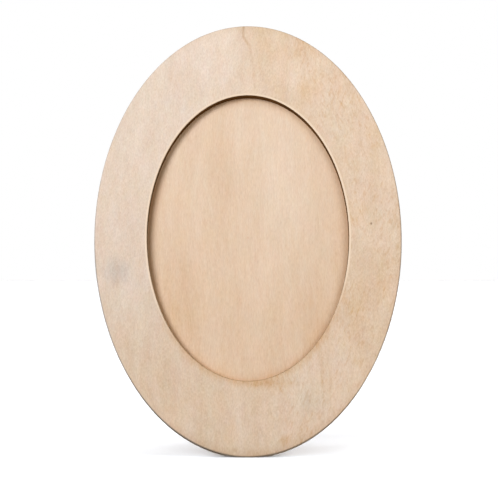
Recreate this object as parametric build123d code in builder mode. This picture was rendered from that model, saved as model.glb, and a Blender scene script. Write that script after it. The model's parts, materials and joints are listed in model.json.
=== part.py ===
from build123d import *
import os
from math import atan2, cos, degrees, hypot, radians, sin, tan

# Oval plywood picture frame, standing on its own fold-out leg.
# Millimetres. +Z up, the face looks towards -Y, X runs across the face.
# The origin is on the floor, in the middle of the frame's footprint.

# ---------------------------------------------------------------- dimensions
lean = 12.0             # how far the face leans back from upright, degrees
leg_spread = 24.0       # angle between the open leg and the back panel, degrees

oval_a = 89.0           # half width of the outer oval
oval_b = 127.5          # half height of the outer oval
foot_lift = 0.5         # the oval's foot stands this high at the face; it rests on its back half
window_a = 58.5         # half width of the opening
window_b = 84.5         # half height of the opening
rebate_a = 64.0         # half width of the rebate behind the opening
rebate_b = 89.5         # half height of the rebate
panel_gap = 0.5         # play of the back panel in the rebate, all round

face_t = 6.0            # front ring, plywood
rear_t = 4.0            # rear ring, plywood
panel_t = 3.6           # back panel, plywood
block_t = 4.0           # hinge block, plywood
leg_t = 3.6             # leg, plywood
outer_arris = 0.8       # sanded round on the outer front edge
window_arris = 0.6      # sanded round on the edge of the opening
back_arris = 0.5        # broken edge at the back
kerf_ease = 0.3         # broken edges of the small plywood pieces

hinge_s = 188.0         # height of the hinge pin, up the face from the oval's foot
leaf_t = 0.9            # hinge sheet
leaf_w = 25.0           # hinge length, across the frame
leaf_reach = 12.0       # from the pin to the end of a leaf
barrel_r = 1.7          # outside radius of the knuckles
bore_r = 0.85           # bore of the knuckles
pin_r = 0.8             # hinge pin
pin_head_r = 1.25
pin_head_t = 0.5
knuckle_gap = 0.2
middle_knuckle = 8.8    # length of the leg leaf's knuckle
leaf_edge = 2.0         # where a leaf's sheet starts, from the pin
wood_edge = 2.2         # where the wood starts, from the pin
tongue_w = 5.2          # stop tongue that lies on the block's leaf when the leg is open
tongue_t = 0.8
tongue_reach = 7.5
tongue_gap = 0.1

block_w = 40.0
block_h = 20.0
leg_top_w = 28.0
leg_foot_w = 45.0
leg_corner_r = 4.0
leg_foot_r = 6.0

button_angle = 40.0     # where the turn buttons sit round the oval, from the widest line
button_outset = 7.0     # pivot outside the rebate's edge
button_t = 1.0
button_gap = 0.1
button_pivot_r = 5.0
button_tip_r = 3.6
button_reach = 12.4     # pivot to the centre of the tip's round
button_hole_r = 1.56
rib_t = 0.5

# turn button screws
big_head_r, big_head_h, big_neck_r, big_shank_r, big_length = 3.2, 2.2, 1.5, 1.3, 8.4
big_pilot_r, big_pilot_depth = 1.32, 8.0
# hinge screws
small_head_r, small_head_h, small_shank_r = 2.1, 1.2, 1.1
small_pilot_r, leaf_hole_r = 1.12, 1.3
block_screw_length, leg_screw_length = 6.4, 3.4
screw_x, screw_reach = 8.0, 7.4

# ------------------------------------------------------------ where things are
S, C = sin(radians(lean)), cos(radians(lean))
oval_centre = oval_b
window_centre = oval_centre
ring_t = face_t + rear_t
pin_depth = ring_t + block_t + barrel_r          # the pin lies this far behind the face

z_face = foot_lift                               # height of the oval's foot at the face
foot_front = outer_arris * (S + C - 1)           # front of the footprint, from the face's datum

leg_lean = radians(leg_spread - lean)            # the open leg's angle from upright
SL, CL = sin(leg_lean), cos(leg_lean)
pin_z = z_face + hinge_s * C - pin_depth * S
pin_from_face = hinge_s * S + pin_depth * C
leg_length = (pin_z - barrel_r * SL) / CL        # pin to floor along the leg's back
foot_back = pin_from_face + leg_length * SL - barrel_r * CL
y_face = -(foot_front + foot_back) / 2           # puts the origin amid the footprint
pin_y = y_face + pin_from_face

X = (1, 0, 0)
up = Vector(0, S, C)             # up the face
rear = Vector(0, C, -S)          # straight back from the face
down_leg = Vector(0, SL, -CL)    # down the open leg
leg_rear = Vector(0, CL, SL)     # out of the open leg's back
pin_at = Vector(0, pin_y, pin_z)
datum = Vector(0, y_face, z_face)

# the face plane: x across, y up the face, z out of the face
face = Plane(origin=datum, x_dir=X, z_dir=-rear)
# the leg's back plane: x across, y up the leg, z towards the leg's front
leg_back = Plane(origin=pin_at - leg_rear * barrel_r, x_dir=X, z_dir=-leg_rear)


def behind(depth):
    """The plane parallel to the face, this far behind it."""
    return face.offset(-depth)


def on_frame(x, s, depth):
    """A point x across, s up the face and depth behind it."""
    return datum + Vector(x, 0, 0) + up * s + rear * depth


def on_leg(x, t, height):
    """A point x across, t down the leg from the pin, height behind the pin."""
    return pin_at + Vector(x, 0, 0) + down_leg * t + leg_rear * height


def button_spot(side, level):
    """Pivot (x, s) of a turn button and its inward direction across the rebate's edge."""
    a, b = rebate_a, rebate_b
    t = radians(button_angle)
    ex, es = a * cos(t), b * sin(t)
    nx, ns = cos(t) / a, sin(t) / b
    length = hypot(nx, ns)
    nx, ns = nx / length, ns / length
    x = side * (ex + nx * button_outset)
    s = window_centre + level * (es + ns * button_outset)
    return x, s, -side * nx, -level * ns


button_spots = [
    button_spot(-1, 1), button_spot(1, 1), button_spot(-1, -1), button_spot(1, -1),
]

# ------------------------------------------------------------------ front ring
with BuildPart() as face_ring:
    with BuildSketch(face):
        with Locations((0, oval_centre)):
            Ellipse(oval_a, oval_b)
        with Locations((0, window_centre)):
            Ellipse(window_a, window_b, mode=Mode.SUBTRACT)
    extrude(amount=-face_t)
    front_edges = (
        face_ring.edges().group_by(Axis(face.origin, face.z_dir))[-1].sort_by(SortBy.LENGTH)
    )
    fillet(front_edges[-1], radius=outer_arris)
    front_edges = (
        face_ring.edges().group_by(Axis(face.origin, face.z_dir))[-1].sort_by(SortBy.LENGTH)
    )
    fillet(front_edges[0], radius=window_arris)
    # pilot holes for the turn button screws stop well short of the face
    with BuildSketch(behind(face_t)):
        with Locations(*[(x, s) for x, s, _, _ in button_spots]):
            Circle(big_pilot_r)
    extrude(amount=big_pilot_depth - rear_t, mode=Mode.SUBTRACT)
    # the foot is sanded level behind its front edge, so that the frame stands without rocking
    split(bisect_by=Plane.XY, keep=Keep.TOP)

# ------------------------------------------------------------------- rear ring
with BuildPart() as rear_ring:
    with BuildSketch(behind(face_t)):
        with Locations((0, oval_centre)):
            Ellipse(oval_a, oval_b)
        with Locations((0, window_centre)):
            Ellipse(rebate_a, rebate_b, mode=Mode.SUBTRACT)
        with Locations(*[(x, s) for x, s, _, _ in button_spots]):
            Circle(big_pilot_r, mode=Mode.SUBTRACT)
    extrude(amount=-rear_t)
    back_edge = (
        rear_ring.edges().group_by(Axis(face.origin, face.z_dir))[0].sort_by(SortBy.LENGTH)[-1]
    )
    chamfer(back_edge, length=back_arris)
    split(bisect_by=Plane.XY, keep=Keep.TOP)

# ------------------------------------------------------------------ back panel
block_low = hinge_s + wood_edge
screw_s = hinge_s + screw_reach
with BuildPart() as backing_panel:
    with BuildSketch(behind(ring_t - panel_t)):
        with Locations((0, window_centre)):
            Ellipse(rebate_a - panel_gap, rebate_b - panel_gap)
    extrude(amount=-panel_t)
    with BuildSketch(behind(ring_t)):
        with Locations((-screw_x, screw_s), (screw_x, screw_s)):
            Circle(small_pilot_r)
    extrude(amount=block_screw_length - leaf_t - block_t + 0.2, mode=Mode.SUBTRACT)

# ----------------------------------------------------------------- hinge block
with BuildPart() as hinge_block:
    with BuildSketch(behind(ring_t)):
        with Locations((0, block_low + block_h / 2)):
            Rectangle(block_w, block_h)
    extrude(amount=-block_t)
    top_corners = (
        hinge_block.edges()
        .filter_by(Axis(face.origin, face.z_dir))
        .sort_by(Axis(face.origin, up))[-2:]
    )
    fillet(top_corners, radius=5.0)
    back_rim = hinge_block.edges().group_by(Axis(face.origin, rear))[-1]
    chamfer(back_rim, length=kerf_ease)
    with BuildSketch(behind(ring_t + block_t)):
        with Locations((-screw_x, screw_s), (screw_x, screw_s)):
            Circle(small_pilot_r)
    extrude(amount=block_t, mode=Mode.SUBTRACT)

# ------------------------------------------------------------------------- leg
# its top end is square, its foot is cut level with the floor
leg_run = leg_length + 4.0
with BuildPart() as easel_leg:
    with BuildSketch(leg_back):
        with BuildLine():
            half_at = lambda t: (
                leg_top_w / 2 + (leg_foot_w - leg_top_w) / 2 * t / leg_length
            )
            Polyline(
                (-half_at(wood_edge), -wood_edge),
                (half_at(wood_edge), -wood_edge),
                (half_at(leg_run), -leg_run),
                (-half_at(leg_run), -leg_run),
                close=True,
            )
        make_face()
    extrude(amount=leg_t)
    split(bisect_by=Plane.XY, keep=Keep.TOP)
    top_corners = (
        easel_leg.edges()
        .filter_by(Axis(pin_at, leg_rear))
        .sort_by(Axis.Z)[-2:]
    )
    fillet(top_corners, radius=leg_corner_r)
    foot_corners = easel_leg.edges().filter_by(
        lambda e: abs(e.center().Z) < 0.01 and e.length < 2 * leg_t
    )
    fillet(foot_corners, radius=leg_foot_r)
    for broad in easel_leg.faces().sort_by(SortBy.AREA)[-2:]:
        chamfer(broad.edges(), length=kerf_ease)
    with BuildSketch(leg_back):
        with Locations((-screw_x, -screw_reach), (screw_x, -screw_reach)):
            Circle(small_pilot_r)
    extrude(amount=leg_screw_length - leaf_t + 0.2, mode=Mode.SUBTRACT)

# ------------------------------------------------------------ hinge, block leaf
# end-on section: x up the face, y straight back, the pin at its origin
half = leaf_w / 2
mid = middle_knuckle / 2


def frame_section(x):
    return Plane(origin=pin_at + Vector(x, 0, 0), x_dir=up, z_dir=(-1, 0, 0))


def leg_section(x):
    return Plane(origin=pin_at + Vector(x, 0, 0), x_dir=down_leg, z_dir=(1, 0, 0))


with BuildPart() as hinge_leaf_block:
    for start, end in ((-half, -mid - knuckle_gap), (mid + knuckle_gap, half)):
        with BuildSketch(frame_section(start)):
            Circle(barrel_r)
            with Locations(((leaf_edge + 0.3) / 2, -barrel_r + leaf_t / 2)):
                Rectangle(leaf_edge + 0.3, leaf_t)
        extrude(amount=-(end - start))
    with BuildSketch(behind(ring_t + block_t)):
        with Locations((0, hinge_s + (leaf_edge + leaf_reach) / 2)):
            Rectangle(leaf_w, leaf_reach - leaf_edge)
    extrude(amount=-leaf_t)
    with BuildSketch(frame_section(-half - 1)):
        Circle(bore_r)
    extrude(amount=-(leaf_w + 2), mode=Mode.SUBTRACT)
    end_corners = (
        hinge_leaf_block.edges()
        .filter_by(Axis(face.origin, face.z_dir))
        .sort_by(Axis(face.origin, up))[-2:]
    )
    fillet(end_corners, radius=2.0)
    with BuildSketch(behind(ring_t + block_t)):
        with Locations((-screw_x, screw_s), (screw_x, screw_s)):
            Circle(leaf_hole_r)
    extrude(amount=-leaf_t, mode=Mode.SUBTRACT)

# -------------------------------------------------------------- hinge, leg leaf
with BuildPart() as hinge_leaf_leg:
    with BuildSketch(leg_section(-mid)):
        Circle(barrel_r)
        with Locations(((leaf_edge + 0.3) / 2, -barrel_r + leaf_t / 2)):
            Rectangle(leaf_edge + 0.3, leaf_t)
    extrude(amount=middle_knuckle)
    # the stop tongue stands out of the knuckle and lies along the block's leaf
    with BuildSketch(frame_section(-tongue_w / 2)):
        with Locations(
            (tongue_reach / 2, -barrel_r + leaf_t + tongue_gap + tongue_t / 2)
        ):
            Rectangle(tongue_reach, tongue_t)
    extrude(amount=-tongue_w)
    tongue_corners = (
        hinge_leaf_leg.edges()
        .filter_by(Axis(face.origin, face.z_dir))
        .sort_by(Axis(face.origin, up))[-2:]
    )
    fillet(tongue_corners, radius=1.4)
    with BuildSketch(leg_back):
        with Locations((0, -(leaf_edge + leaf_reach) / 2)):
            Rectangle(leaf_w, leaf_reach - leaf_edge)
    extrude(amount=-leaf_t)
    with BuildSketch(leg_section(-half - 1)):
        Circle(bore_r)
    extrude(amount=leaf_w + 2, mode=Mode.SUBTRACT)
    end_corners = (
        hinge_leaf_leg.edges()
        .filter_by(Axis(pin_at, leg_rear))
        .sort_by(Axis(pin_at, down_leg))[-2:]
    )
    fillet(end_corners, radius=2.0)
    with BuildSketch(leg_back):
        with Locations((-screw_x, -screw_reach), (screw_x, -screw_reach)):
            Circle(leaf_hole_r)
    extrude(amount=-leaf_t, mode=Mode.SUBTRACT)

# ------------------------------------------------------------------- hinge pin
with BuildPart() as hinge_pin:
    with BuildSketch(frame_section(-half)):
        Circle(pin_r)
    extrude(amount=-leaf_w)
    for start in (-half - pin_head_t, half):
        with BuildSketch(frame_section(start)):
            Circle(pin_head_r)
        extrude(amount=-pin_head_t)
    head_rims = (
        hinge_pin.edges()
        .filter_by(GeomType.CIRCLE)
        .filter_by(lambda e: abs(abs(e.center().X) - half - pin_head_t) < 0.01)
    )
    fillet(head_rims, radius=0.3)

# ----------------------------------------------------------------- turn buttons
turn_buttons = []
for x, s, dx, ds in button_spots:
    inward = Vector(dx, 0, 0) + up * ds
    flat = Plane(origin=on_frame(x, s, ring_t + button_gap), x_dir=inward, z_dir=rear)
    with BuildPart() as turn_button:
        with BuildSketch(flat):
            Circle(button_pivot_r)
            with Locations((button_reach, 0)):
                Circle(button_tip_r)
            make_hull()
            Circle(button_hole_r, mode=Mode.SUBTRACT)
        extrude(amount=button_t)
        rim = (
            turn_button.edges()
            .group_by(Axis(flat.origin, flat.z_dir))[-1]
            .filter_by(lambda e: (e.center() - flat.origin).length > button_hole_r + 0.5
                       or e.length > 7.5 * button_hole_r)
        )
        chamfer(rim, length=0.25)
        # pressed rib along the finger
        with BuildSketch(flat.offset(button_t)):
            with Locations(((button_reach + 5.2) / 2, 0)):
                SlotOverall(button_reach + 1.8 - 3.6, 2.4)
        extrude(amount=rib_t, taper=35)
    turn_buttons.append(turn_button)

# ---------------------------------------------------------------------- screws
# pan heads with a cross recess; each seat plane is the underside of a head
block_seats = [
    Plane(origin=on_frame(x, screw_s, ring_t + block_t + leaf_t), x_dir=X, z_dir=rear)
    for x in (-screw_x, screw_x)
]
leg_seats = [
    Plane(origin=on_leg(x, screw_reach, -barrel_r + leaf_t), x_dir=X, z_dir=leg_rear)
    for x in (-screw_x, screw_x)
]
button_seats = [
    Plane(origin=on_frame(x, s, ring_t + button_gap + button_t), x_dir=X, z_dir=rear)
    for x, s, _, _ in button_spots
]
small = (small_head_r, small_head_h, small_shank_r, leaf_t, small_shank_r - 0.05)
big = (big_head_r, big_head_h, big_neck_r, button_t + button_gap - 0.25, big_shank_r)
screw_sets = {}
for label, seats, sizes, length in (
    ("hinge_screws_block", block_seats, small, block_screw_length),
    ("hinge_screws_leg", leg_seats, small, leg_screw_length),
    ("turn_button_screws", button_seats, big, big_length),
):
    head_r, head_h, neck_r, neck, shank_r = sizes
    with BuildPart() as screws:
        for seat in seats:
            side = Plane(
                origin=seat.origin, x_dir=seat.x_dir, z_dir=seat.x_dir.cross(seat.z_dir)
            )
            with BuildSketch(side):
                with BuildLine():
                    Line((0, head_h), (head_r * 0.35, head_h))
                    ThreePointArc(
                        (head_r * 0.35, head_h),
                        (head_r * 0.86, head_h * 0.76),
                        (head_r, head_h * 0.34),
                    )
                    Polyline(
                        (head_r, head_h * 0.34),
                        (head_r, 0),
                        (neck_r, 0),
                        (neck_r, -neck),
                        (shank_r, -neck - (neck_r - shank_r)),
                        (shank_r, -length + 1.2 * shank_r),
                        (0, -length),
                        (0, head_h),
                    )
                make_face()
            revolve(axis=Axis(seat.origin, seat.z_dir), revolution_arc=360)
            with BuildSketch(seat.offset(head_h + 0.1)):
                Rectangle(head_r * 1.15, head_r * 0.24)
                Rectangle(head_r * 0.24, head_r * 1.15)
            extrude(amount=-(head_h * 0.55 + 0.1), mode=Mode.SUBTRACT)
    screw_sets[label] = screws

# ----------------------------------------------------------------------- files
os.makedirs("parts", exist_ok=True)
face_ring.part.label = "face_ring"
rear_ring.part.label = "rear_ring"
backing_panel.part.label = "backing_panel"
hinge_block.part.label = "hinge_block"
easel_leg.part.label = "easel_leg"
hinge_leaf_block.part.label = "hinge_leaf_block"
hinge_leaf_leg.part.label = "hinge_leaf_leg"
hinge_pin.part.label = "hinge_pin"
export_step(face_ring.part, "parts/face_ring.step")
export_step(rear_ring.part, "parts/rear_ring.step")
export_step(backing_panel.part, "parts/backing_panel.step")
export_step(hinge_block.part, "parts/hinge_block.step")
export_step(easel_leg.part, "parts/easel_leg.step")
export_step(hinge_leaf_block.part, "parts/hinge_leaf_block.step")
export_step(hinge_leaf_leg.part, "parts/hinge_leaf_leg.step")
export_step(hinge_pin.part, "parts/hinge_pin.step")
for label, screws in screw_sets.items():
    screws.part.label = label
    export_step(screws.part, f"parts/{label}.step")
for number, turn_button in enumerate(turn_buttons, 1):
    turn_button.part.label = f"turn_button_{number}"
    export_step(turn_button.part, f"parts/turn_button_{number}.step")

print("face datum y, z", round(y_face, 4), round(z_face, 4))
print("pin y, z", round(pin_y, 4), round(pin_z, 4), "leg length", round(leg_length, 3))
print("footprint depth", round(foot_back - foot_front, 3))
for number, (x, s, dx, ds) in enumerate(button_spots, 1):
    print("turn button", number, [round(v, 4) for v in on_frame(x, s, ring_t)],
          "turned", round(degrees(atan2(ds, dx)), 2))
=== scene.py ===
import json
from math import cos, pi, radians, sin

import bpy
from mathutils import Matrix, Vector

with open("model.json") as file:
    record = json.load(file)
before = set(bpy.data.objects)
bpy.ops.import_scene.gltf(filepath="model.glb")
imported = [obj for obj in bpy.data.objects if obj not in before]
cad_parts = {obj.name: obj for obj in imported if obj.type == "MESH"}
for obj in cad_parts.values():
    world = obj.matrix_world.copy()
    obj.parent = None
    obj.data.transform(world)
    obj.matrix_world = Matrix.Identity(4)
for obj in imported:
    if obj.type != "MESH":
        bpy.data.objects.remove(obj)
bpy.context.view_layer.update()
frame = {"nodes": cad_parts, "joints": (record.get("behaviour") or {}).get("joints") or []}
NODES = frame["nodes"]
scene = bpy.context.scene

# ------------------------------------------------------------------ the object's own lines, mm
LEAN = 12.0
OVAL_A, OVAL_B, OVAL_S = 89.0, 127.5, 127.5
WINDOW_A, WINDOW_B, WINDOW_S = 58.5, 84.5, 127.5
S12, C12 = sin(radians(LEAN)), cos(radians(LEAN))
FACE_Y, FACE_Z = -45.6775, 0.5          # where the face's plane starts, under the oval's foot

# ------------------------------------------------------------------ camera
cam_data = bpy.data.cameras.new("camera")
cam = bpy.data.objects.new("camera", cam_data)
scene.collection.objects.link(cam)
cam_data.sensor_fit = "HORIZONTAL"
cam_data.sensor_width = 36.0
cam_data.lens = 116.848
cam_data.clip_start = 0.02
cam_data.clip_end = 30.0
cam.location = (-0.00056, -0.954728, 0.12206)
cam.rotation_euler = (radians(90) - 0.00562, 0.0, -0.00120)
scene.camera = cam

scene.view_settings.view_transform = "Standard"
scene.view_settings.look = "None"
scene.view_settings.exposure = 0.0
scene.view_settings.gamma = 1.0


# ------------------------------------------------------------------ light
def area_light(name, place, aim, size, power, colour=(1, 1, 1)):
    data = bpy.data.lights.new(name, "AREA")
    data.shape = "RECTANGLE"
    data.size, data.size_y = size
    data.energy = power
    data.color = colour
    light = bpy.data.objects.new(name, data)
    scene.collection.objects.link(light)
    light.location = place
    light.rotation_euler = (Vector(aim) - Vector(place)).to_track_quat("-Z", "Y").to_euler()
    return light


area_light("key", (-1.000, -1.902, 0.810), (0, -0.02, 0.125), (0.98, 0.92), 41.8)
area_light("right_fill", (0.847, -2.000, 0.736), (0, -0.02, 0.125), (1.32, 0.76), 15.4, (1.0, 0.83, 0.63))

world = bpy.data.worlds.new("studio")
scene.world = world
world.use_nodes = True
wt = world.node_tree
wt.nodes.clear()
w_out = wt.nodes.new("ShaderNodeOutputWorld")
w_mix = wt.nodes.new("ShaderNodeMixShader")
w_path = wt.nodes.new("ShaderNodeLightPath")
w_seen = wt.nodes.new("ShaderNodeBackground")
w_seen.inputs["Color"].default_value = (1, 1, 1, 1)
w_seen.inputs["Strength"].default_value = 1.0
w_lit = wt.nodes.new("ShaderNodeBackground")
w_lit.inputs["Color"].default_value = (1.0, 0.85, 0.70, 1)
w_way = wt.nodes.new("ShaderNodeTexCoord")
w_split = wt.nodes.new("ShaderNodeSeparateXYZ")
w_sum = wt.nodes.new("ShaderNodeMath")
wt.links.new(w_way.outputs["Generated"], w_split.inputs[0])
# little comes from in front but the two lights; more from behind and from straight below
for i, (axis, lo, hi, a, b) in enumerate((("Y", 0.0, 0.40, 0.030, 0.45), ("Z", -0.97, -0.72, 0.70, 0.0))):
    w_range = wt.nodes.new("ShaderNodeMapRange")
    w_range.interpolation_type = "SMOOTHSTEP"
    for k, v in enumerate((lo, hi, a, b)):
        w_range.inputs[k + 1].default_value = v
    wt.links.new(w_split.outputs[axis], w_range.inputs[0])
    wt.links.new(w_range.outputs[0], w_sum.inputs[i])
wt.links.new(w_sum.outputs[0], w_lit.inputs["Strength"])
wt.links.new(w_path.outputs["Is Camera Ray"], w_mix.inputs[0])
wt.links.new(w_lit.outputs[0], w_mix.inputs[1])
wt.links.new(w_seen.outputs[0], w_mix.inputs[2])
wt.links.new(w_mix.outputs[0], w_out.inputs["Surface"])


# ------------------------------------------------------------------ node writing
class Mat:
    """A small writer for one material's nodes."""

    def __init__(self, name):
        self.mat = bpy.data.materials.new(name)
        self.mat.use_nodes = True
        self.tree = self.mat.node_tree
        self.tree.nodes.clear()
        out = self.new("ShaderNodeOutputMaterial")
        self.bsdf = self.new("ShaderNodeBsdfPrincipled")
        self.tree.links.new(self.bsdf.outputs["BSDF"], out.inputs["Surface"])

    def new(self, kind, **props):
        node = self.tree.nodes.new(kind)
        for key, value in props.items():
            setattr(node, key, value)
        return node

    def put(self, socket, value):
        if isinstance(value, bpy.types.NodeSocket):
            self.tree.links.new(value, socket)
        elif isinstance(value, (tuple, list)) and len(value) == 3 and len(socket.default_value) == 4:
            socket.default_value = (*value, 1.0)
        else:
            socket.default_value = value

    def math(self, op, *args, clamp=False):
        node = self.new("ShaderNodeMath", operation=op, use_clamp=clamp)
        for i, a in enumerate(args):
            self.put(node.inputs[i], a)
        return node.outputs[0]

    def add(self, *args):
        total = args[0]
        for a in args[1:]:
            total = self.math("ADD", total, a)
        return total

    def mul(self, *args):
        total = args[0]
        for a in args[1:]:
            total = self.math("MULTIPLY", total, a)
        return total

    def vmath(self, op, *args):
        node = self.new("ShaderNodeVectorMath", operation=op)
        for i, a in enumerate(args):
            self.put(node.inputs[i], a)
        return node.outputs["Value" if op in ("LENGTH", "DOT_PRODUCT", "DISTANCE") else "Vector"]

    def mix(self, fac, a, b, blend="MIX"):
        node = self.new("ShaderNodeMix", data_type="RGBA", blend_type=blend, clamp_factor=True)
        self.put(node.inputs[0], fac)
        self.put(node.inputs[6], a)
        self.put(node.inputs[7], b)
        return node.outputs[2]

    def step(self, x, lo, hi, a=0.0, b=1.0):
        node = self.new("ShaderNodeMapRange", interpolation_type="SMOOTHSTEP")
        for i, v in enumerate((x, lo, hi, a, b)):
            self.put(node.inputs[i], v)
        return node.outputs[0]

    def ramp(self, x, lo, hi, a=0.0, b=1.0):
        node = self.new("ShaderNodeMapRange", interpolation_type="LINEAR", clamp=True)
        for i, v in enumerate((x, lo, hi, a, b)):
            self.put(node.inputs[i], v)
        return node.outputs[0]

    def noise(self, vec, stretch, detail=2.0, rough=0.5, seed=0.0, distort=0.0):
        """Noise about 0, roughly -0.5 to 0.5, with stretch features per mm on each axis."""
        v = self.vmath("MULTIPLY", vec, stretch)
        if seed:
            v = self.vmath("ADD", v, (seed, seed * 1.7, seed * 0.6))
        node = self.new("ShaderNodeTexNoise", noise_dimensions="3D", normalize=True)
        self.put(node.inputs["Vector"], v)
        self.put(node.inputs["Scale"], 1.0)
        self.put(node.inputs["Detail"], detail)
        self.put(node.inputs["Roughness"], rough)
        self.put(node.inputs["Distortion"], distort)
        return self.math("SUBTRACT", node.outputs["Fac"], 0.5)

    def split(self, vec):
        node = self.new("ShaderNodeSeparateXYZ")
        self.put(node.inputs[0], vec)
        return node.outputs

    def join(self, x, y, z):
        node = self.new("ShaderNodeCombineXYZ")
        for i, v in enumerate((x, y, z)):
            self.put(node.inputs[i], v)
        return node.outputs[0]

    def scaled(self, vec, factor):
        node = self.new("ShaderNodeVectorMath", operation="SCALE")
        self.put(node.inputs[0], vec)
        self.put(node.inputs["Scale"], factor)
        return node.outputs[0]

    def local(self, turn, shift):
        """Place and normal on the sheet: x across, y behind the face, z up the face, in mm."""
        tc = self.new("ShaderNodeTexCoord")
        place = self.new("ShaderNodeMapping", vector_type="POINT")
        self.put(place.inputs["Vector"], tc.outputs["Object"])
        place.inputs["Rotation"].default_value = (radians(turn), 0, 0)
        place.inputs["Scale"].default_value = (1000, 1000, 1000)
        place.inputs["Location"].default_value = shift
        facing = self.new("ShaderNodeMapping", vector_type="VECTOR")
        self.put(facing.inputs["Vector"], tc.outputs["Normal"])
        facing.inputs["Rotation"].default_value = (radians(turn), 0, 0)
        return place.outputs[0], facing.outputs[0]

    def tint(self, base, fine, coarse, cold, green, warm):
        """Wood colour: fine and coarse darkening, a cold drift, a green one and the broad warmth."""
        v = self.vmath("SUBTRACT", (1, 1, 1), self.scaled((0.72, 0.86, 1.0), fine))
        v = self.vmath("SUBTRACT", v, self.scaled((0.35, 0.64, 1.0), coarse))
        v = self.vmath("ADD", v, self.scaled((-0.85, -0.25, 0.47), cold))
        v = self.vmath("ADD", v, self.scaled((-0.45, 0.81, -0.38), green))
        v = self.vmath("SUBTRACT", v, self.scaled((0.27, 0.56, 1.0), warm))
        return self.vmath("MULTIPLY", base, v)

    def drift(self, P, seed, power):
        """Two sizes of faint colour patches."""
        small = self.noise(P, (0.45, 0, 0.22), 1.0, 0.5, seed)
        large = self.noise(P, (0.11, 0, 0.06), 2.0, 0.5, seed + 1)
        return self.add(self.mul(small, power), self.mul(large, power * 1.7))

    def oval(self, x, s, a, b, middle):
        """Distance outside an oval in mm, negative within it; q is 1 on it; qx, qs say which way round."""
        qx = self.mul(x, 1 / a)
        qs = self.mul(self.math("SUBTRACT", s, middle), 1 / b)
        q = self.math("SQRT", self.add(self.mul(qx, qx), self.mul(qs, qs)))
        gx, gs = self.mul(qx, 1 / a), self.mul(qs, 1 / b)
        g = self.math("SQRT", self.add(self.mul(gx, gx), self.mul(gs, gs)))
        off = self.math("DIVIDE", self.mul(self.math("SUBTRACT", q, 1.0), q), self.math("MAXIMUM", g, 0.002))
        return off, q, qx, qs

    def spot(self, P, at, radii, rag=0.35, seed=1.0, soft=0.9, grain=(0.16, 0, 0.07)):
        """A soft mask on the sheet at (x, s) mm with radii (rx, rs) mm, its edge broken by noise."""
        p = self.vmath("SUBTRACT", P, (at[0], 0, at[1]))
        p = self.vmath("MULTIPLY", p, (1 / radii[0], 0, 1 / radii[1]))
        d = self.vmath("LENGTH", p)
        d = self.add(d, self.mul(self.noise(P, grain, 3.0, 0.6, seed), rag * 2))
        return self.step(d, 1.0 - soft, 1.0 + soft * 0.3, 1.0, 0.0)

    def stroke(self, P, points, width, seed=1.0, wobble=1.6):
        """A grain line's mask through (x, s, strength) points, drawn as tapered capsules."""
        x, _, s = self.split(P)
        x = self.add(x, self.mul(self.noise(P, (0.15, 0, 0.12), 2.0, 0.5, seed), wobble))
        total = None
        for (x0, s0, k0), (x1, s1, k1) in zip(points, points[1:]):
            dx, ds = x1 - x0, s1 - s0
            ll = dx * dx + ds * ds
            px = self.math("SUBTRACT", x, x0)
            ps = self.math("SUBTRACT", s, s0)
            t = self.ramp(self.add(self.mul(px, dx / ll), self.mul(ps, ds / ll)), 0.0, 1.0)
            ex = self.math("SUBTRACT", px, self.mul(t, dx))
            es = self.math("SUBTRACT", ps, self.mul(t, ds))
            dist = self.math("SQRT", self.add(self.mul(ex, ex), self.mul(es, es)))
            k = self.add(self.mul(t, k1 - k0), k0)
            m = self.mul(self.step(dist, 0.0, width, 1.0, 0.0), k)
            total = m if total is None else self.math("MAXIMUM", total, m)
        return total


FRAME_SHIFT = (0.0, -(FACE_Y * C12 - FACE_Z * S12), -(FACE_Y * S12 + FACE_Z * C12))


def plies(m, P, bounds, seed, dark=(0.135, 0.072, 0.032), pale=(0.235, 0.140, 0.070)):
    """Cut edge of a plywood sheet: bands of crossed plies between glue lines, scorched brown."""
    _, d, _ = m.split(P)
    rag = m.mul(m.noise(P, (0.35, 0.0, 0.35), 3.0, 0.6, seed), 0.35)
    dd = m.add(d, rag)
    glue = tuple(c * 0.33 for c in dark)
    colour = m.mix(0.0, dark, dark)
    for i, (start, end) in enumerate(zip(bounds, bounds[1:])):
        inside = m.mul(m.step(dd, start - 0.08, start + 0.08), m.step(dd, end - 0.08, end + 0.08, 1.0, 0.0))
        colour = m.mix(inside, colour, pale if i % 2 == 0 else dark)
    for edge in bounds[1:-1]:
        away = m.math("ABSOLUTE", m.math("SUBTRACT", dd, edge))
        colour = m.mix(m.step(away, 0.03, 0.16, 0.8, 0.0), colour, glue)
    fine = m.noise(P, (1.9, 0.25, 1.9), 3.0, 0.65, seed + 3)
    broad = m.noise(P, (0.06, 0.0, 0.06), 3.0, 0.6, seed + 5)
    return m.scaled(colour, m.add(1.0, m.mul(fine, 0.9), m.mul(broad, 1.1)))


def grain(m, P, seed, dash=(2.0, 0.85), streak=(1.3, 0.13), power=(0.42, 0.11, 0.05)):
    """Fine darkening along the grain: short dashes, long fibres and faint bands."""
    x, d, s = m.split(P)
    wander = m.noise(P, (0.012, 0.0, 0.007), 2.0, 0.5, seed)
    Q = m.join(m.add(x, m.mul(wander, 22.0)), d, s)
    short = m.noise(Q, (dash[0], 0.2, dash[1]), 1.0, 0.6, seed + 1)
    long = m.noise(Q, (streak[0], 0.2, streak[1]), 2.0, 0.6, seed + 2)
    band = m.noise(Q, (0.24, 0.0, 0.014), 3.0, 0.6, seed + 3)
    return m.add(m.mul(short, power[0]), m.mul(long, power[1]), m.mul(band, power[2])), Q, short, long


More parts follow.
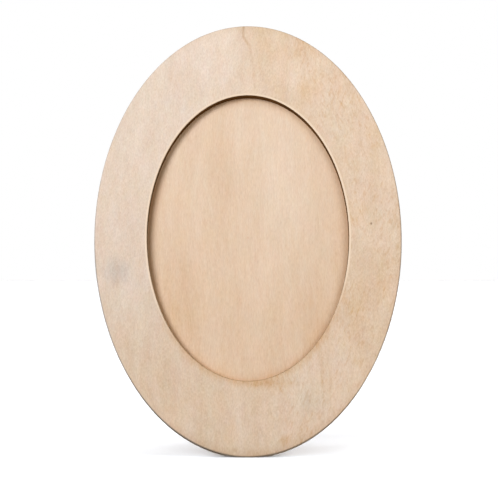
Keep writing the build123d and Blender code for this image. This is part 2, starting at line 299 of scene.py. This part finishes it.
def finish_wood(m, P, colour, short, long, side, bump=0.22, rough=0.74):
    height = m.add(m.mul(short, 0.6), m.mul(long, 0.6))
    b = m.new("ShaderNodeBump")
    b.inputs["Strength"].default_value = bump
    b.inputs["Distance"].default_value = 0.00018
    m.put(b.inputs["Height"], height)
    m.put(m.bsdf.inputs["Normal"], b.outputs[0])
    m.put(m.bsdf.inputs["Base Color"], colour)
    r = m.add(rough, m.mul(m.noise(P, (0.8, 0.3, 0.2), 2.0, 0.5, 9.0), 0.14))
    r = m.math("ADD", r, m.mul(side, 0.12), clamp=True)
    m.put(m.bsdf.inputs["Roughness"], r)
    m.put(m.bsdf.inputs["Specular IOR Level"], m.add(0.28, m.mul(side, -0.25)))
    m.bsdf.inputs["IOR"].default_value = 1.45


FACE_BASE = (0.760, 0.624, 0.512)
PANEL_BASE = (0.775, 0.610, 0.473)


def face_sheet():
    """The ring's sanded face: pale, vertical grain, rosier at the upper left, with its own marks."""
    m = Mat("face_wood")
    P, N = m.local(LEAN, FRAME_SHIFT)
    x, d, s = m.split(P)
    _, ny, _ = m.split(N)
    fine, Q, short, long = grain(m, P, 4.0)
    # broad hue: a paler, rosier field at the upper left, warmer elsewhere
    sway = m.noise(P, (0.030, 0, 0.018), 3.0, 0.55, 12.0)
    edge_x = m.step(m.add(x, m.mul(sway, 24.0)), -16.0, 6.0)
    edge_s = m.step(m.add(s, m.mul(sway, 40.0)), 50.0, 100.0, 1.0, 0.0)
    warm = m.add(-0.115, m.mul(m.math("MAXIMUM", edge_x, edge_s), 0.22))
    coarse = m.mul(m.noise(Q, (1.6, 0.1, 0.65), 1.0, 0.5, 15.0), 0.26)
    coarse = m.add(coarse, m.mul(m.noise(Q, (0.26, 0.05, 0.13), 2.0, 0.55, 16.0), 0.17))
    coarse = m.add(coarse, m.mul(m.noise(Q, (0.105, 0.02, 0.034), 3.0, 0.60, 17.0), 0.46))
    fine = m.add(fine, m.mul(m.noise(Q, (0.032, 0.01, 0.022), 2.0, 0.5, 18.0), 0.07))
    for turn, seed in ((24, 26.0), (-20, 27.0)):
        c, k = cos(radians(turn)), sin(radians(turn))
        slant = m.join(m.add(m.mul(x, c), m.mul(s, k)), 0.0, m.add(m.mul(x, -k), m.mul(s, c)))
        fleck = m.step(m.noise(slant, (0.60, 0, 0.17), 2.0, 0.5, seed), 0.02, 0.16)
        field = m.mul(m.step(x, -5.0, 30.0), m.step(m.noise(P, (0.03, 0, 0.02), 2.0, 0.5, seed + 2), -0.12, 0.10))
        coarse = m.add(coarse, m.mul(fleck, field, 0.150), m.mul(field, -0.032))
    hue = m.drift(P, 21.0, 0.060)
    green = m.drift(P, 23.0, 0.036)
    # marks of this sheet, at mm across and up: (x, s), radii, fine, coarse, cold
    marks = (
        ((-75.5, 107), (9, 10), 0.15, -0.02, 0.075, 2.0),
        ((64, 76), (13, 24), 0.00, 0.14, 0.0, 2.5),
        ((26, 226), (12, 16), -0.03, -0.08, 0.0, 3.5),
        ((-83, 133), (5, 30), 0.00, 0.05, -0.020, 3.0),
        ((33, 239), (12, 8), 0.00, 0.10, -0.010, 4.0),
        ((36, 215), (10, 9), 0.00, 0.09, -0.010, 5.0),
        ((64, 143), (8, 12), 0.00, 0.06, -0.008, 6.0),
        ((73, 106), (11, 20), 0.00, 0.12, -0.006, 7.0),
        ((35, 31), (9, 9), 0.02, 0.00, 0.055, 8.0),
        ((-46, 18), (12, 8), 0.00, -0.03, -0.020, 9.0),
        ((10, 41.5), (20, 3.2), 0.03, 0.16, -0.01, 10.0),
        ((20.8, 9.3), (4.0, 3.6), 0.02, 0.24, -0.020, 11.0),
        ((-7.4, 4.0), (2.0, 1.8), 0.12, 0.12, 0.0, 13.0),
    )
    for at, radii, f, c, h, seed in marks:
        k = m.spot(P, at, radii, 0.3, seed)
        if f:
            fine = m.add(fine, m.mul(k, f))
        if c:
            coarse = m.add(coarse, m.mul(k, c))
        if h:
            hue = m.add(hue, m.mul(k, h))
    line = m.stroke(
        P, [(-2.7, 256, 1.0), (-2.7, 248.6, 0.9), (1.1, 242.3, 0.5), (2.3, 235, 0.35), (4.1, 214, 0.15)],
        1.4, 31.0)
    fine = m.add(fine, m.mul(line, 0.12))
    coarse = m.add(coarse, m.mul(line, 0.20))
    line = m.stroke(
        P, [(41.9, 60, 0.3), (42.1, 48, 0.8), (42.6, 32, 1.0), (42.3, 18, 0.6)], 1.5, 32.0)
    flecks = m.step(m.noise(P, (0.6, 0, 0.5), 2.0, 0.6, 33.0), -0.05, 0.15, 0.35, 1.0)
    fine = m.add(fine, m.mul(line, flecks, 0.10))
    coarse = m.add(coarse, m.mul(line, flecks, 0.18))
    colour = m.tint(FACE_BASE, fine, coarse, hue, green, warm)
    # painted light: brighter towards the upper right, darker towards the lower left
    colour = m.scaled(colour, m.ramp(m.add(s, x), -45.0, 300.0, 0.912, 1.088))
    knot = m.vmath("LENGTH", m.vmath("MULTIPLY", m.vmath("SUBTRACT", P, (71.4, 0, 134.6)), (1, 0, 0.8)))
    colour = m.mix(m.step(knot, 0.25, 0.8, 0.70, 0.0), colour, (0.20, 0.11, 0.06))
    # distance outside the opening, and which way round it
    off, q, qx, qs = m.oval(x, s, WINDOW_A, WINDOW_B, WINDOW_S)
    low_side = m.step(m.math("SUBTRACT", m.mul(qx, 0.06), qs), 0.22, 0.72)
    # smoke of the cut on the face, low and to the right only
    lick = m.step(m.noise(P, (0.42, 0, 0.10), 3.0, 0.7, 41.0), -0.08, 0.25)
    reach = m.add(2.6, m.mul(low_side, 2.0), m.mul(lick, 3.0))
    smoke = m.mul(m.step(m.math("DIVIDE", off, reach), 0.0, 1.0, 1.0, 0.0), low_side, m.add(0.55, m.mul(lick, 0.45)))
    colour = m.vmath("MULTIPLY", colour, m.mix(smoke, (1, 1, 1), (0.90, 0.76, 0.59)))
    right = m.mul(m.step(qx, 0.84, 0.97), m.step(off, 0.2, 2.2, 1.0, 0.0), m.add(0.6, m.mul(lick, 0.4)))
    colour = m.vmath("MULTIPLY", colour, m.mix(right, (1, 1, 1), (0.90, 0.83, 0.75)))
    # the sanded arris: paler above and left, partly paler fresh-sanded wood and partly a painted highlight; scorched
    # below and right
    flat = m.math("ABSOLUTE", ny)
    inner = m.step(q, 1.10, 1.14, 1.0, 0.0)
    arris = m.mul(m.step(flat, 0.955, 0.995, 1.0, 0.0), inner)
    band = m.mul(m.step(off, 0.1, 0.5), m.step(off, 0.9, 1.5, 1.0, 0.0))
    pale = m.mul(m.math("MAXIMUM", arris, band), m.math("SUBTRACT", 1.0, low_side))
    colour = m.mix(m.mul(pale, 0.85), colour, (0.93, 0.785, 0.635))
    burnt = m.step(m.noise(P, (0.7, 0, 0.7), 3.0, 0.65, 44.0), -0.15, 0.20, 0.35, 1.0)
    colour = m.mix(m.mul(arris, low_side, burnt, 0.6), colour, (0.42, 0.27, 0.14))
    # painted shade near the outer edge: darker low and to the right, most at the foot, and a little at the top
    out, _, ox, os_ = m.oval(x, s, OVAL_A, OVAL_B, OVAL_S)
    inset = m.add(m.mul(out, -1.0), m.mul(m.noise(P, (0.10, 0, 0.10), 3.0, 0.6, 46.0), 3.0))
    near = m.step(inset, 0.3, 5.5, 1.0, 0.0)
    round_ = m.step(m.math("SUBTRACT", m.mul(ox, 0.5), m.mul(os_, 0.87)), 0.25, 0.65)
    colour = m.vmath("MULTIPLY", colour, m.mix(m.mul(near, round_), (1, 1, 1), (0.935, 0.892, 0.850)))
    foot_shade = m.mul(m.step(s, 2.0, 24.0, 1.0, 0.0), m.step(inset, 0.3, 11.0, 1.0, 0.0))
    colour = m.vmath("MULTIPLY", colour, m.mix(foot_shade, (1, 1, 1), (0.92, 0.915, 0.895)))
    top_shade = m.mul(m.step(os_, 0.78, 0.97), near)
    colour = m.vmath("MULTIPLY", colour, m.mix(top_shade, (1, 1, 1), (0.96, 0.94, 0.90)))
    # painted shade on the outer arris: greyer, most towards the foot and on the lower left, less at the lower right
    outer = m.mul(m.step(flat, 0.90, 0.995, 1.0, 0.0), m.math("SUBTRACT", 1.0, inner))
    foot = m.step(s, 90.0, 190.0, 0.55, 0.22)
    left = m.mul(m.step(x, -30.0, -5.0, 1.0, 0.0), m.step(s, 90.0, 150.0, 1.0, 0.0))
    less_arris_shade = m.mul(m.step(x, 2.0, 24.0), m.step(s, 45.0, 75.0, 1.0, 0.0))
    arris_shade = m.mul(m.add(foot, m.mul(left, 0.45)), m.math("SUBTRACT", 1.0, m.mul(less_arris_shade, 0.8)))
    colour = m.mix(m.mul(outer, arris_shade), colour, m.vmath("MULTIPLY", colour, (0.57, 0.58, 0.62)))
    # cut walls: the opening's is the darkest
    side = m.step(flat, 0.42, 0.62, 1.0, 0.0)
    bounds = (0.0, 1.3, 2.5, 3.6, 4.8, 6.0)
    wall = plies(m, P, bounds, 51.0, (0.125, 0.060, 0.018), (0.185, 0.092, 0.028))
    # painted light: the opening's wall is painted paler at the left and much paler at the lower left, standing in for
    # light falling on it there
    low_left = m.step(m.math("SUBTRACT", m.mul(qx, -0.7), m.mul(qs, 0.714)), 0.70, 0.95)
    wall = m.mix(m.mul(m.step(m.mul(qx, -1.0), 0.75, 0.95), 0.40), wall, (0.28, 0.22, 0.14))
    wall = m.mix(m.mul(low_left, 0.9), wall, (0.56, 0.42, 0.26))
    rim = plies(m, P, bounds, 52.0, (0.350, 0.305, 0.255), (0.505, 0.447, 0.385))
    # painted light: the outer wall is painted darker at the left and lighter right of the middle below mid-height, and
    # lighter over the upper part
    low = m.mul(m.ramp(x, -25.0, 28.0, 0.60, 1.40), m.ramp(x, 48.0, 70.0, 1.0, 0.6), m.ramp(x, -75.0, -40.0, 0.75, 1.0))
    high = m.step(s, 105.0, 140.0)
    rim = m.scaled(rim, m.add(m.mul(low, m.math("SUBTRACT", 1.0, high)), m.mul(high, 1.3)))
    colour = m.mix(side, colour, m.mix(inner, rim, wall))
    finish_wood(m, P, colour, short, long, side)
    return m.mat


def panel_sheet():
    """The back panel: a warmer sheet with straight fine streaks."""
    m = Mat("panel_wood")
    P, N = m.local(LEAN, FRAME_SHIFT)
    x, d, s = m.split(P)
    _, ny, _ = m.split(N)
    fine, Q, short, long = grain(m, P, 60.0, (2.1, 0.44), (1.2, 0.08), (0.32, 0.12, 0.04))
    coarse = m.mul(m.noise(Q, (1.5, 0.1, 0.26), 1.0, 0.5, 64.0), 0.28)
    coarse = m.add(coarse, m.mul(m.noise(Q, (0.28, 0.05, 0.05), 2.0, 0.55, 65.0), 0.20))
    coarse = m.add(coarse, m.mul(m.noise(Q, (0.075, 0.02, 0.016), 2.0, 0.55, 66.0), 0.24))
    # browner towards the sides and the foot, paler up the middle
    wide = m.mul(x, 1 / 58.0)
    coarse = m.add(coarse, m.mul(wide, wide, 0.10), m.step(s, 60.0, 150.0, 0.09, -0.03))
    coarse = m.add(coarse, m.mul(m.spot(P, (-16, 165), (9, 62), 0.3, 71.0), 0.10))
    coarse = m.add(coarse, m.mul(m.spot(P, (20, 165), (18, 80), 0.3, 72.0), -0.11))
    coarse = m.add(coarse, m.mul(m.spot(P, (-38, 84), (14, 34), 0.3, 78.0), 0.09))
    coarse = m.add(coarse, m.mul(m.spot(P, (38, 80), (10, 30), 0.3, 79.0), 0.06))
    fine = m.add(fine, m.mul(m.spot(P, (6, 102), (14, 26), 0.3, 70.0), -0.03))
    colour = m.tint(PANEL_BASE, fine, coarse, m.drift(P, 73.0, 0.050), m.drift(P, 75.0, 0.025), 0.0)
    # painted light: brighter towards the top, darker towards the foot
    colour = m.scaled(colour, m.ramp(s, 43.0, 212.0, 0.972, 1.028))
    # painted shade: browner and darker where the panel meets the opening's wall, standing in for the wall's cast shadow
    # and its warm bounce; weaker at the upper left and the lower left, only on the panel's front
    out, _, qx, qs = m.oval(x, s, WINDOW_A, WINDOW_B, WINDOW_S)
    inward = m.mul(out, -1.0)
    inward = m.add(inward, m.mul(m.noise(P, (0.22, 0, 0.10), 2.0, 0.6, 77.0), 1.6))
    recess_shade = m.add(m.step(inward, 0.2, 3.2, 0.60, 0.0), m.step(inward, 1.5, 7.0, 0.40, 0.0))
    high_left = m.step(m.math("SUBTRACT", m.mul(qs, 0.75), m.mul(qx, 0.66)), 0.80, 0.97)
    front = m.step(d, 6.8, 7.6, 1.0, 0.0)
    low_left = m.step(m.math("SUBTRACT", m.mul(qx, -0.9), m.mul(qs, 0.43)), 0.70, 0.95, 1.0, 0.25)
    recess_shade = m.mul(recess_shade, m.math("SUBTRACT", 1.0, high_left), front, low_left)
    colour = m.vmath("MULTIPLY", colour, m.mix(recess_shade, (1, 1, 1), (0.91, 0.80, 0.69)))
    # painted shadow: deeper at the left of the opening
    left_recess_shade = m.mul(m.step(m.math("SUBTRACT", m.mul(qs, 0.10), qx), 0.80, 0.93), m.step(inward, 2.0, 9.0, 1.0, 0.0), front)
    colour = m.vmath("MULTIPLY", colour, m.mix(left_recess_shade, (1, 1, 1), (0.86, 0.83, 0.80)))
    # painted shadow: a little deeper under the top of the opening
    top_recess_shade = m.mul(m.step(qs, 0.88, 0.96), m.step(inward, 2.0, 6.0, 1.0, 0.0), front)
    colour = m.vmath("MULTIPLY", colour, m.mix(top_recess_shade, (1, 1, 1), (0.90, 0.91, 0.92)))
    flat = m.math("ABSOLUTE", ny)
    side = m.step(flat, 0.42, 0.62, 1.0, 0.0)
    edge = plies(m, P, (6.4, 7.6, 8.8, 10.0), 74.0)
    colour = m.mix(side, colour, edge)
    finish_wood(m, P, colour, short, long, side)
    return m.mat


def rear_sheet(name, turn, shift, bounds, seed):
    """The sheets behind: the same stock, rougher and duller than the face."""
    m = Mat(name)
    P, N = m.local(turn, shift)
    _, ny, _ = m.split(N)
    fine, Q, short, long = grain(m, P, seed, (1.5, 0.25), (1.1, 0.06), (0.50, 0.30, 0.22))
    coarse = m.mul(m.noise(Q, (0.28, 0.05, 0.05), 3.0, 0.55, seed + 5), 0.30)
    coarse = m.add(coarse, m.mul(m.noise(Q, (0.06, 0.02, 0.012), 3.0, 0.55, seed + 6), 0.40))
    colour = m.tint((0.70, 0.545, 0.395), fine, coarse, m.drift(P, seed + 7, 0.07), m.drift(P, seed + 11, 0.03), 0.0)
    flat = m.math("ABSOLUTE", ny)
    side = m.step(flat, 0.42, 0.80, 1.0, 0.0)
    edge = plies(m, P, bounds, seed + 9, (0.410, 0.320, 0.235), (0.560, 0.445, 0.335))
    colour = m.mix(side, colour, edge)
    finish_wood(m, P, colour, short, long, side, 0.5)
    return m.mat


def metal(name, base, rough, seed, warm=(1.0, 1.0, 1.0)):
    """Zinc-plated steel: faint spangle, fine scratches, dulled patches."""
    m = Mat(name)
    tc = m.new("ShaderNodeTexCoord")
    P = m.scaled(tc.outputs["Object"], 1000.0)
    cloud = m.noise(P, (0.5, 0.5, 0.5), 4.0, 0.6, seed)
    fine = m.noise(P, (5.0, 5.0, 1.1), 2.0, 0.6, seed + 2)
    tone = m.add(1.0, m.mul(cloud, 0.35), m.mul(fine, 0.16))
    colour = m.mix(m.step(cloud, -0.1, 0.25, 0.0, 0.7), base, tuple(b * w for b, w in zip(base, warm)))
    m.put(m.bsdf.inputs["Base Color"], m.scaled(colour, tone))
    m.bsdf.inputs["Metallic"].default_value = 1.0
    r = m.math("ADD", rough, m.add(m.mul(cloud, 0.3), m.mul(fine, 0.2)), clamp=True)
    m.put(m.bsdf.inputs["Roughness"], r)
    b = m.new("ShaderNodeBump")
    b.inputs["Strength"].default_value = 0.25
    b.inputs["Distance"].default_value = 0.00008
    m.put(b.inputs["Height"], m.add(fine, cloud))
    m.put(m.bsdf.inputs["Normal"], b.outputs[0])
    return m.mat


def dress(name, mat):
    o = NODES[name]
    o.data.materials.clear()
    o.data.materials.append(mat)


face_mat = face_sheet()
panel_mat = panel_sheet()
rear_mat = rear_sheet("rear_wood", LEAN, FRAME_SHIFT, (6.0, 7.3, 8.7, 10.0), 80.0)
block_mat = rear_sheet("block_wood", LEAN, FRAME_SHIFT, (10.0, 11.3, 12.7, 14.0), 95.0)
# the leg's own place: its pin line is the joint's, its back lies 1.7 mm in front of it
pin = Vector(next(j for j in frame["joints"] if j["name"] == "leg_hinge")["pos_m"]) * 1000
leg_shift = (0.0, -(pin.y * C12 + pin.z * S12) + 1.7, -(-pin.y * S12 + pin.z * C12))
leg_mat = rear_sheet("leg_wood", -LEAN, leg_shift, (-3.6, -2.4, -1.2, 0.0), 110.0)
steel = metal("hinge_metal", (0.62, 0.55, 0.36), 0.38, 3.0, (1.05, 0.92, 0.75))
zinc = metal("screw_metal", (0.62, 0.61, 0.59), 0.34, 7.0)
plate = metal("button_metal", (0.58, 0.57, 0.55), 0.36, 11.0)

dress("face_ring", face_mat)
dress("rear_ring", rear_mat)
dress("backing_panel", panel_mat)
dress("hinge_block", block_mat)
dress("easel_leg", leg_mat)
for name in ("hinge_leaf_block", "hinge_leaf_leg", "hinge_pin"):
    dress(name, steel)
for name in ("hinge_screws_block", "hinge_screws_leg", "turn_button_screws"):
    dress(name, zinc)
for i in (1, 2, 3, 4):
    dress(f"turn_button_{i}", plate)

# ------------------------------------------------------------------ floor, with its own light
fm = Mat("floor_white")
fm.bsdf.inputs["Base Color"].default_value = (0.449, 0.462, 0.480, 1)
fm.bsdf.inputs["Roughness"].default_value = 0.9
fm.bsdf.inputs["Specular IOR Level"].default_value = 0.0
mesh = bpy.data.meshes.new("floor")
ring_n = 96
verts = [(0, 0, -0.00004)]
faces = []
for k, r in enumerate((0.5, 4.0)):
    for i in range(ring_n):
        a = 2 * pi * i / ring_n
        verts.append((r * cos(a), r * sin(a), -0.00004))
for i in range(ring_n):
    j = (i + 1) % ring_n
    faces.append((0, 1 + i, 1 + j))
    faces.append((1 + i, 1 + ring_n + i, 1 + ring_n + j, 1 + j))
mesh.from_pydata(verts, [], faces)
floor = bpy.data.objects.new("floor", mesh)
scene.collection.objects.link(floor)
mesh.materials.append(fm.mat)
floor.visible_diffuse = False
floor.visible_glossy = False

# a ring of low, broad lights that fall on the floor alone keeps it white right up to the foot
only_floor = bpy.data.collections.new("floor_only")
only_floor.objects.link(floor)
for i, (up, round_, share) in enumerate((
    (20, 30, 0.15), (20, 110, 0.36), (20, 180, 0.20), (20, 250, 0.35), (20, 330, 0.10), (65, 90, 0.07),
)):
    data = bpy.data.lights.new(f"floor_light_{i}", "SUN")
    data.angle = radians(44)
    data.energy = share * pi / (0.5 * sin(radians(up)))
    data.color = (0.985, 0.99, 1.0)
    light = bpy.data.objects.new(f"floor_light_{i}", data)
    scene.collection.objects.link(light)
    e, r = radians(up), radians(round_)
    to_light = Vector((cos(e) * sin(r), cos(e) * cos(r), sin(e)))
    light.rotation_euler = (-to_light).to_track_quat("-Z", "Y").to_euler()
    light.light_linking.receiver_collection = only_floor

# a broad light from behind, for the object's back and sides, leaves the floor out
not_floor = bpy.data.collections.new("not_floor")
not_floor.objects.link(floor)
not_floor.collection_objects[0].light_linking.link_state = "EXCLUDE"
back = area_light("back_soft", (0.75, 1.75, 1.05), (0, 0.0, 0.125), (1.6, 1.2), 30.0, (1.0, 0.96, 0.91))
back.light_linking.receiver_collection = not_floor
